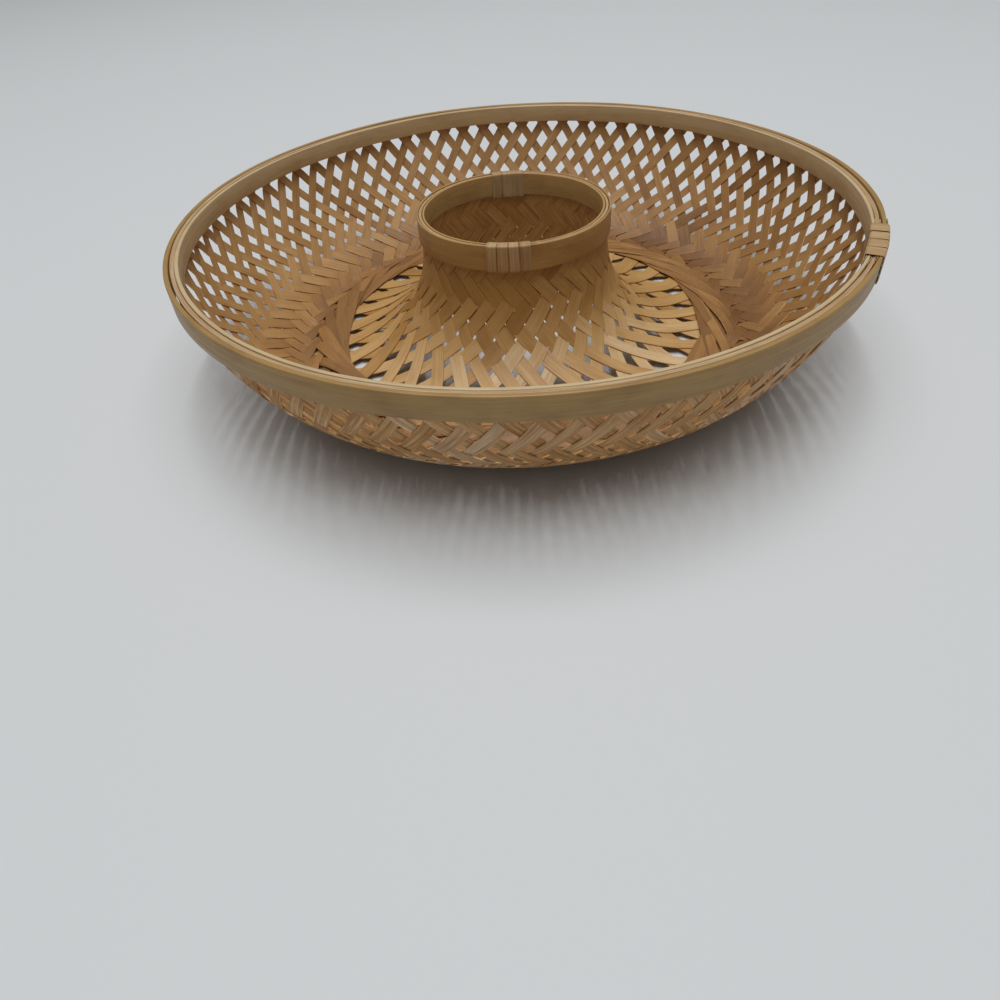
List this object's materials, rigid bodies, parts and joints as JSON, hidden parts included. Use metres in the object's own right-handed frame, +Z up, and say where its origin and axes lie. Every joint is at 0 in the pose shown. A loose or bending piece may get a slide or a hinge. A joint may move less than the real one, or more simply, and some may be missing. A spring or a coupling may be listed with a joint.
{
  "type": "woven serving basket",
  "caption": "Round shallow woven bamboo serving basket with a sloping openwork wall and an open trumpet-shaped cone in the middle, both edged with bamboo hoops.",
  "frame": {"origin": "on the table, under the centre of the rim", "axes": "+Z up; +Y away from the picture's camera, so the collar's front lashing faces -Y; +X to the right"},
  "size_m": [0.2998, 0.2998, 0.0611],
  "materials": {
    "woven_bamboo": "split bamboo strips, matt, fibrous",
    "hoop_bamboo": "planed bamboo, satin",
    "core_bamboo": "split bamboo edge, matt",
    "lashing_bamboo": "thin bamboo strip, satin"
  },
  "bodies": {
    "root": {"bowl_weave": "woven_bamboo", "cone_weave": "woven_bamboo", "rim_outer_hoop": "hoop_bamboo", "rim_inner_hoop": "hoop_bamboo", "rim_core_strip": "core_bamboo", "collar_outer_hoop": "hoop_bamboo", "collar_inner_hoop": "hoop_bamboo", "collar_core_strip": "core_bamboo", "rim_lashing_1": "lashing_bamboo", "collar_front_lashing_1": "lashing_bamboo", "rim_lashing_2": "lashing_bamboo", "collar_front_lashing_2": "lashing_bamboo", "rim_lashing_3": "lashing_bamboo", "collar_front_lashing_3": "lashing_bamboo", "rim_lashing_4": "lashing_bamboo", "collar_front_lashing_4": "lashing_bamboo", "collar_back_lashing_1": "lashing_bamboo", "collar_back_lashing_2": "lashing_bamboo", "collar_back_lashing_3": "lashing_bamboo"}
  },
  "joints": []
}
